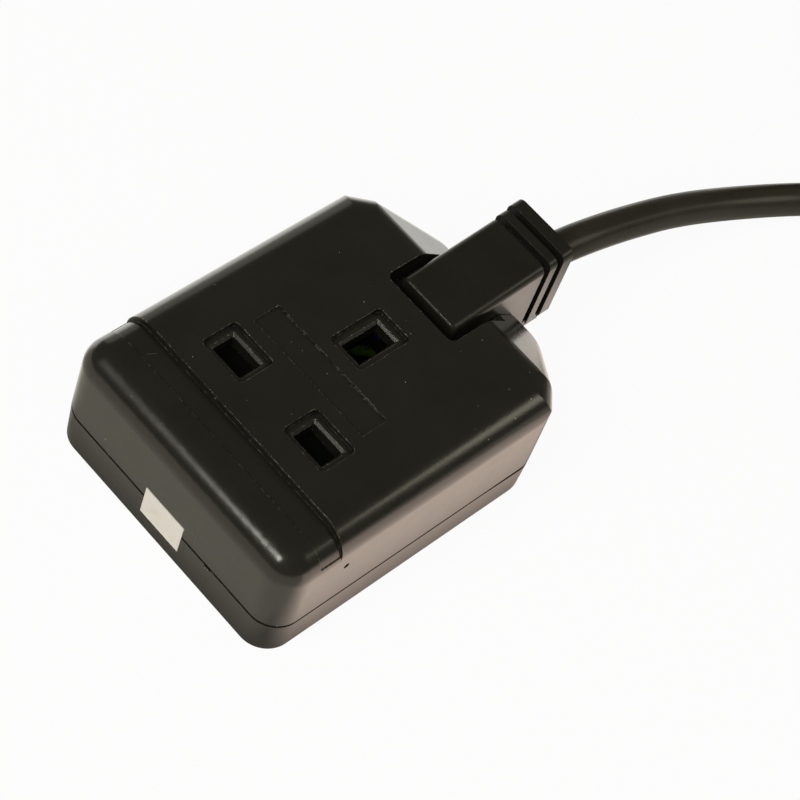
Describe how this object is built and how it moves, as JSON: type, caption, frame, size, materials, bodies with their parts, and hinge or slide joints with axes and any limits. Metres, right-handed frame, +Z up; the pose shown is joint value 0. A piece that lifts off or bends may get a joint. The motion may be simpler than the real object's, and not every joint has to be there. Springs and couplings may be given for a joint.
{
  "type": "extension lead",
  "caption": "Black trailing extension lead with one shuttered three-pin outlet, a cable boot, a coiled mains cable and a fused plug.",
  "frame": {"origin": "middle of the housing's flat underside", "axes": "+Y along the housing towards the cable, +Z up through the outlet face, +X towards the line slot"},
  "size_m": [0.0955, 0.2866, 0.0647],
  "materials": {
    "housing_black": "satin",
    "boot_black": "satin",
    "cable_black": "satin",
    "plug_black": "satin",
    "inner_plastic": "matte",
    "label_white": "matte",
    "steel": "satin",
    "brass": "polished",
    "core_brown": "gloss",
    "core_blue": "gloss",
    "core_green": "gloss",
    "fuse_ceramic": "matte",
    "tie_black": "matte"
  },
  "bodies": {
    "housing": {"base": "housing_black", "cable_boot": "boot_black", "cable_coil": "cable_black", "cable_lead": "cable_black", "cable_tail": "cable_black", "coil_tie": "tie_black", "cover_screws": "steel", "earth_contact": "brass", "earth_core": "core_green", "fuse_clips": "brass", "grip_screws": "steel", "inner_sheath": "cable_black", "line_contact": "brass", "line_core": "core_brown", "neutral_contact": "brass", "neutral_core": "core_blue", "pin_sleeves": "plug_black", "plug_body": "plug_black", "plug_cord_grip": "inner_plastic", "plug_cover": "plug_black", "plug_cover_screw": "steel", "plug_earth_core": "core_green", "plug_earth_pin": "brass", "plug_fuse": "fuse_ceramic", "plug_line_core": "core_brown", "plug_line_pin": "brass", "plug_neutral_core": "core_blue", "plug_neutral_pin": "brass", "plug_sheath": "cable_black", "plug_terminal_screws": "steel", "rating_label": "label_white", "retainer_screws": "steel", "shutter_retainer": "inner_plastic", "shutter_spring": "steel", "terminal_screws": "steel", "top_cover": "housing_black"},
    "shutter": {"shutter": "inner_plastic"}
  },
  "joints": [
    {"name": "shutter_slide", "type": "slide", "parent": "housing", "child": "shutter", "axis": [0, -1, 0], "range_m": [0, 0.006], "stiffness_N_per_m": 150, "springref_m": -0.003, "deforming": ["shutter_spring"]}
  ]
}
